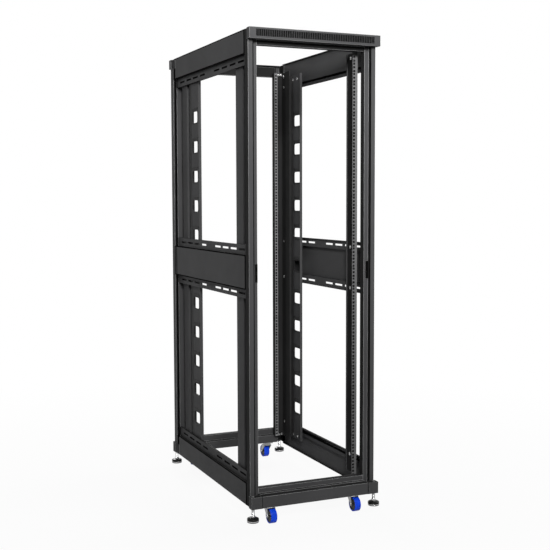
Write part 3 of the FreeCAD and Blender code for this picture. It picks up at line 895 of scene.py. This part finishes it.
# %% [markdown]
# ## Levelling feet
# A foot is a turned pad with a bright ring, a lock nut and a threaded stud.  A thread is a
# helix; here it is a stack of rings instead.  One short cylinder is cut across its middle, the
# cut is widened, which makes two shallow cones back to back, and an Array repeats it.  That
# looks like a thread from a little way off, has closed meshes, and costs few faces.

# %% Model one foot
low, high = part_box("front_left_levelling_foot")
PAD_RADIUS = (high.x - low.x) / 2
FOOT_HEIGHT = high.z - low.z
PAD_THICKNESS = 16 * MM
STUD_RADIUS = 7 * MM
THREAD_PITCH = 1.75 * MM
THREAD_ROOT = STUD_RADIUS - 0.35 * MM
THREAD_START = PAD_THICKNESS + 11 * MM


def model_pad():
    pad = rod_piece("pad", PAD_RADIUS, PAD_THICKNESS, (0, 0, PAD_THICKNESS / 2), sides=64)
    edit_faces(pad, lambda polygon: polygon.normal.z > 0.9)
    bpy.ops.mesh.inset(thickness=5 * MM)
    bpy.ops.transform.translate(value=(0, 0, 2.5 * MM))
    bpy.ops.mesh.inset(thickness=7 * MM)
    bpy.ops.transform.translate(value=(0, 0, 2.0 * MM))
    leave_edit(pad)
    round_shoulders(pad, 1.6 * MM, 3, 40)
    return leave_edit(pad, smooth_angle=40)


def model_ring():
    """The bright edge of the steel disc that the pad is moulded on."""
    ring = rod_piece("ring", PAD_RADIUS + 0.25 * MM, 3.4 * MM, (0, 0, 5.6 * MM), sides=64)
    round_shoulders(ring, 0.6 * MM, 2, 50)
    return leave_edit(ring, smooth_angle=40)


def model_stud():
    start = PAD_THICKNESS + 3 * MM
    core = rod_piece(
        "core", STUD_RADIUS - 0.45 * MM, FOOT_HEIGHT - start, (0, 0, (FOOT_HEIGHT + start) / 2)
    )
    bpy.ops.object.select_all(action="DESELECT")
    bpy.ops.mesh.primitive_cylinder_add(
        vertices=32, radius=THREAD_ROOT, depth=THREAD_PITCH,
        location=(0, 0, THREAD_START), end_fill_type="NGON",
    )
    turn = settle(bpy.context.object, "thread")
    select_only(turn)
    bpy.ops.object.mode_set(mode="EDIT")
    bpy.ops.mesh.select_all(action="SELECT")
    bpy.ops.mesh.bisect(plane_co=(0, 0, THREAD_START), plane_no=(0, 0, 1))
    widening = STUD_RADIUS / THREAD_ROOT
    bpy.ops.transform.resize(value=(widening, widening, 1.0))
    leave_edit(turn)
    turns = int((FOOT_HEIGHT - THREAD_START) / THREAD_PITCH)
    add_modifier(
        turn, "ARRAY", count=turns, use_relative_offset=False,
        use_constant_offset=True, constant_offset_displace=(0, 0, THREAD_PITCH),
    )
    nut = rod_piece("nut", 10.5 * MM, 7 * MM, (0, 0, start + 4.5 * MM), sides=6)
    round_shoulders(nut, 0.8 * MM, 2, 40)
    stud = join([core, turn, nut], "stud")
    return leave_edit(stud, smooth_angle=30)


pad_master, ring_master, stud_master = model_pad(), model_ring(), model_stud()
print("stud", len(stud_master.data.polygons), "faces")

# %% Place the feet
for end in ENDS:
    for side in SIDES:
        node = f"{end}_{side}_levelling_foot"
        low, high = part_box(node)
        foot = Vector(((low.x + high.x) / 2, (low.y + high.y) / 2, low.z))
        body = f"{end}_{side}_foot"
        pad = copy_to(pad_master, f"{end}_{side}_pad", foot)
        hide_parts(node)
        finish_piece(pad, body, foot_black)
        ring = copy_to(ring_master, f"{end}_{side}_pad_ring", foot)
        finish_piece(ring, body, stud_steel)
        stud = copy_to(stud_master, f"{end}_{side}_stud", foot)
        finish_piece(stud, body, stud_steel)
for master in (pad_master, ring_master, stud_master):
    bpy.data.objects.remove(master)
print("feet placed")

# %% [markdown]
# ## Axle bolts
# The axle ends in a hexagon head on one side of the fork and a nut on the other.  Four smaller
# hexagon heads hold each caster plate.  One function makes them all: a six sided rod whose
# edges are bevelled.

# %% Axle bolts
def model_hex(name, radius, thickness, centre, axis):
    head = rod_piece(name, radius, thickness, centre, axis, sides=6)
    return round_shoulders(head, 0.7 * MM, 2, 40)


for end in ENDS:
    for side in SIDES:
        fork_low, fork_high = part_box(f"{end}_{side}_caster_fork")
        low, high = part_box(f"{end}_{side}_caster_wheel")
        middle = (low + high) / 2
        heads = []
        for x in (fork_low.x - 0.5 * MM, fork_high.x + 0.5 * MM):
            heads.append(model_hex("head", 6.5 * MM, 4 * MM, (x, middle.y, middle.z), "X"))
        bolt = join(heads, f"{end}_{side}_axle_heads")
        finish_piece(bolt, f"{end}_{side}_fork", zinc)
print("axle heads placed")

# %% Bolts that hold the caster plates
BOLT_INSET = 4.2 * MM
for end in ENDS:
    for side in SIDES:
        low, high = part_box(f"{end}_{side}_caster_plate")
        bolts = []
        for x in (low.x + BOLT_INSET, high.x - BOLT_INSET):
            for y in (low.y + BOLT_INSET, high.y - BOLT_INSET):
                bolts.append(model_hex("bolt", 3.6 * MM, 3 * MM, (x, y, low.z - 1.2 * MM), "Z"))
        plate_bolts = join(bolts, f"{end}_{side}_plate_bolts")
        finish_piece(plate_bolts, "frame", zinc)
print("plate bolts placed")

# %% [markdown]
# ## Screws
# Rails and cable panels are held with bright pan head screws.  A head starts as a short
# cylinder; its face is inset and raised into a dome, and a cross recess is pressed in with a
# Boolean.  The same head is copied and turned to face each side.  Their number and places are
# a guess beyond the few that can be seen.

# %% Model one screw head facing -Y
def model_screw():
    head = rod_piece("screw", 5.0 * MM, 1.4 * MM, (0, -0.7 * MM, 0), "Y", sides=32)
    edit_faces(head, lambda polygon: polygon.normal.y < -0.9)
    bpy.ops.mesh.inset(thickness=0.8 * MM)
    bpy.ops.transform.translate(value=(0, -0.8 * MM, 0))
    bpy.ops.mesh.inset(thickness=1.6 * MM)
    bpy.ops.transform.translate(value=(0, -0.4 * MM, 0))
    leave_edit(head)
    for size in ((1.0, 4.4), (4.4, 1.0)):
        reach_x, reach_z = size[0] * MM / 2, size[1] * MM / 2
        recess = box_piece("recess", (-reach_x, -4 * MM, -reach_z), (reach_x, -1.2 * MM, reach_z))
        carve(head, recess)
    washer = rod_piece("washer", 7.0 * MM, 1.0 * MM, (0, -0.5 * MM, 0), "Y", sides=32)
    made = join([head, washer], "screw")
    return leave_edit(made, smooth_angle=30)


screw_master = model_screw()
print("screw", len(screw_master.data.polygons), "faces")

# %% Place the screws
MIDDLE_PANEL_RISES = (1.149, 0.965)
TOP_SCREW_DROP = 20 * MM
LOW_SCREW_RISE = 80 * MM
SHEET = 2 * MM
screws = []


def place_screw(point, turn=0.0):
    screws.append(copy_to(screw_master, f"screw_{len(screws):02d}", Vector(point), turn))


for side, sign in SIDES.items():
    inward = math.pi / 2 if sign < 0 else -math.pi / 2
    low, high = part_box(f"rear_{side}_rail")
    face = high.y - RAIL_FOLD
    plate = sign * (abs(low.x if sign < 0 else high.x) - SHEET)
    for z in (high.z - 8 * MM, low.z + 8 * MM):
        for reach in (6 * MM, 20 * MM):
            place_screw((plate - sign * reach, face, z))
    top = high.z - TOP_SCREW_DROP
    for z in (top, high.z - 72 * MM, *MIDDLE_PANEL_RISES, low.z + LOW_SCREW_RISE):
        place_screw((plate, face - 21 * MM, z), inward)
    low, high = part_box(f"front_{side}_rail")
    plate = sign * (abs(low.x if sign < 0 else high.x) - SHEET)
    for z in (high.z - TOP_SCREW_DROP, *MIDDLE_PANEL_RISES, low.z + LOW_SCREW_RISE):
        place_screw((plate, high.y - 30 * MM, z), inward)
    low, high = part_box(f"{side}_cable_panel")
    plate = sign * (abs(low.x if sign < 0 else high.x) - 1.5 * MM)
    for y in (low.y + 55 * MM, high.y - 14 * MM):
        for z in (low.z + 15 * MM, high.z - 22 * MM):
            place_screw((plate, y, z), inward)
bpy.data.objects.remove(screw_master)
all_screws = join(screws, "rail_screws")
finish_piece(all_screws, "frame", stud_steel)
print("screws placed")

# %% [markdown]
# ## Camera
# The camera stands in front of the rack, to its left, at about two thirds of its height, and
# looks slightly down.

# %% Camera
YAW, PITCH, ROLL = math.radians(23.57), math.radians(4.38), math.radians(0.17)
bpy.ops.object.camera_add(
    location=(-1.809, -4.256, 1.363), rotation=(math.pi / 2 - PITCH, ROLL, -YAW)
)
camera = bpy.context.object
camera.name = "camera"
camera.data.lens = 64.6
camera.data.shift_x = -0.002
camera.data.clip_end = 200.0
bpy.context.scene.camera = camera
print("camera", camera.data.lens, "mm lens")

# %% [markdown]
# ## Floor and studio
# The floor is painted grey and takes the rack's shadow.  Where the camera, a mirror or glass
# looks at it, most of what they see is an even white glow instead, a little less of it near the
# rack, which leaves only a very faint shadow there.  The world works in the same way: it is white
# to look at and in reflections, and otherwise lights the rack only faintly.  So the white comes
# from the backdrop and not from more light on the rack.

# %% What is seen, and what only lights
def seen_or_mirrored(tree):
    """One for rays that end in the picture directly, in a mirror or through glass; else nought."""
    path = tree.nodes.new("ShaderNodeLightPath")
    both = tree.nodes.new("ShaderNodeMath")
    both.operation = "MAXIMUM"
    tree.links.new(path.outputs["Is Camera Ray"], both.inputs[0])
    tree.links.new(path.outputs["Is Glossy Ray"], both.inputs[1])
    every = tree.nodes.new("ShaderNodeMath")
    every.operation = "MAXIMUM"
    tree.links.new(both.outputs["Value"], every.inputs[0])
    tree.links.new(path.outputs["Is Transmission Ray"], every.inputs[1])
    return every.outputs["Value"]

# %% Floor
FLOOR_GREY = 0.45
GLOW_NEAR, GLOW_FAR = 0.93, 1.0
NEAR_REACH, FAR_REACH = 0.6, 3.0
bpy.ops.object.select_all(action="DESELECT")
bpy.ops.mesh.primitive_plane_add(size=80.0, location=(0, 0, 0))
floor = bpy.context.object
floor.name = "floor"
floor_paint = bpy.data.materials.new("floor_paint")
floor_paint.use_nodes = True
tree = floor_paint.node_tree
shader = tree.nodes["Principled BSDF"]
shader.inputs["Base Color"].default_value = (FLOOR_GREY, FLOOR_GREY, FLOOR_GREY, 1.0)
shader.inputs["Roughness"].default_value = 0.9
glow = tree.nodes.new("ShaderNodeEmission")
glow.inputs["Strength"].default_value = 1.0
place = tree.nodes.new("ShaderNodeTexCoord")
reach = tree.nodes.new("ShaderNodeVectorMath")
reach.operation = "LENGTH"
tree.links.new(place.outputs["Object"], reach.inputs[0])
fade = tree.nodes.new("ShaderNodeMapRange")
fade.inputs["From Min"].default_value = NEAR_REACH
fade.inputs["From Max"].default_value = FAR_REACH
fade.inputs["To Min"].default_value = GLOW_NEAR
fade.inputs["To Max"].default_value = GLOW_FAR
tree.links.new(reach.outputs["Value"], fade.inputs["Value"])
share = tree.nodes.new("ShaderNodeMath")
share.operation = "MULTIPLY"
tree.links.new(fade.outputs["Result"], share.inputs[1])
blend = tree.nodes.new("ShaderNodeMixShader")
tree.links.new(seen_or_mirrored(tree), share.inputs[0])
tree.links.new(share.outputs["Value"], blend.inputs["Fac"])
tree.links.new(shader.outputs["BSDF"], blend.inputs[1])
tree.links.new(glow.outputs["Emission"], blend.inputs[2])
tree.links.new(blend.outputs["Shader"], tree.nodes["Material Output"].inputs["Surface"])
floor.data.materials.append(floor_paint)
print("floor laid")

# %% World
STUDIO_LEVEL = 0.09
world = bpy.data.worlds.new("studio")
bpy.context.scene.world = world
world.use_nodes = True
sky = world.node_tree.nodes["Background"]
sky.inputs["Color"].default_value = (1.0, 1.0, 1.0, 1.0)
level = world.node_tree.nodes.new("ShaderNodeMapRange")
level.inputs["To Min"].default_value = STUDIO_LEVEL
level.inputs["To Max"].default_value = 1.0
world.node_tree.links.new(seen_or_mirrored(world.node_tree), level.inputs["Value"])
world.node_tree.links.new(level.outputs["Result"], sky.inputs["Strength"])
bpy.context.scene.view_settings.view_transform = "Standard"
print("studio level", STUDIO_LEVEL)

# %% [markdown]
# ## Lamps
# Six square soft lamps light the rack.  The key lamp hangs in front on the left with a smaller
# one beside it; both are aimed high and have a narrow spread, as a grid gives a soft box, so the
# tops of the posts are lighter than their feet.  One at the front right fills in.  Three stand
# behind and at the two sides, because a black rack is hard to read from there without them.

# %% Lamps
def add_lamp(name, place, aim, size, power, spread=180.0):
    bpy.ops.object.light_add(type="AREA", location=place)
    lamp = bpy.context.object
    lamp.name = name
    lamp.data.shape = "SQUARE"
    lamp.data.size = size
    lamp.data.energy = power
    lamp.data.spread = math.radians(spread)
    lamp.rotation_mode = "QUATERNION"
    lamp.rotation_quaternion = (Vector(aim) - Vector(place)).to_track_quat("-Z", "Y")
    return lamp


add_lamp("key_lamp", (-1.5, -4.6, 3.0), (0.0, 0.0, 1.9), 1.0, 66.0, spread=76.0)
add_lamp("front_lamp", (-0.15, -4.2, 3.1), (0.0, 0.0, 1.9), 0.8, 12.0, spread=76.0)
add_lamp("right_lamp", (1.4, -4.2, 3.4), (0.0, -0.3, 1.9), 1.6, 14.0)
add_lamp("rear_lamp", (0.6, 4.8, 2.8), (0.0, 0.0, 1.1), 1.6, 190.0)
add_lamp("side_lamp", (4.8, 0.6, 2.8), (0.3, 0.0, 1.1), 1.6, 150.0)
add_lamp("left_lamp", (-4.8, 0.9, 2.8), (-0.3, 0.0, 1.3), 1.6, 34.0)
print("lamps placed")
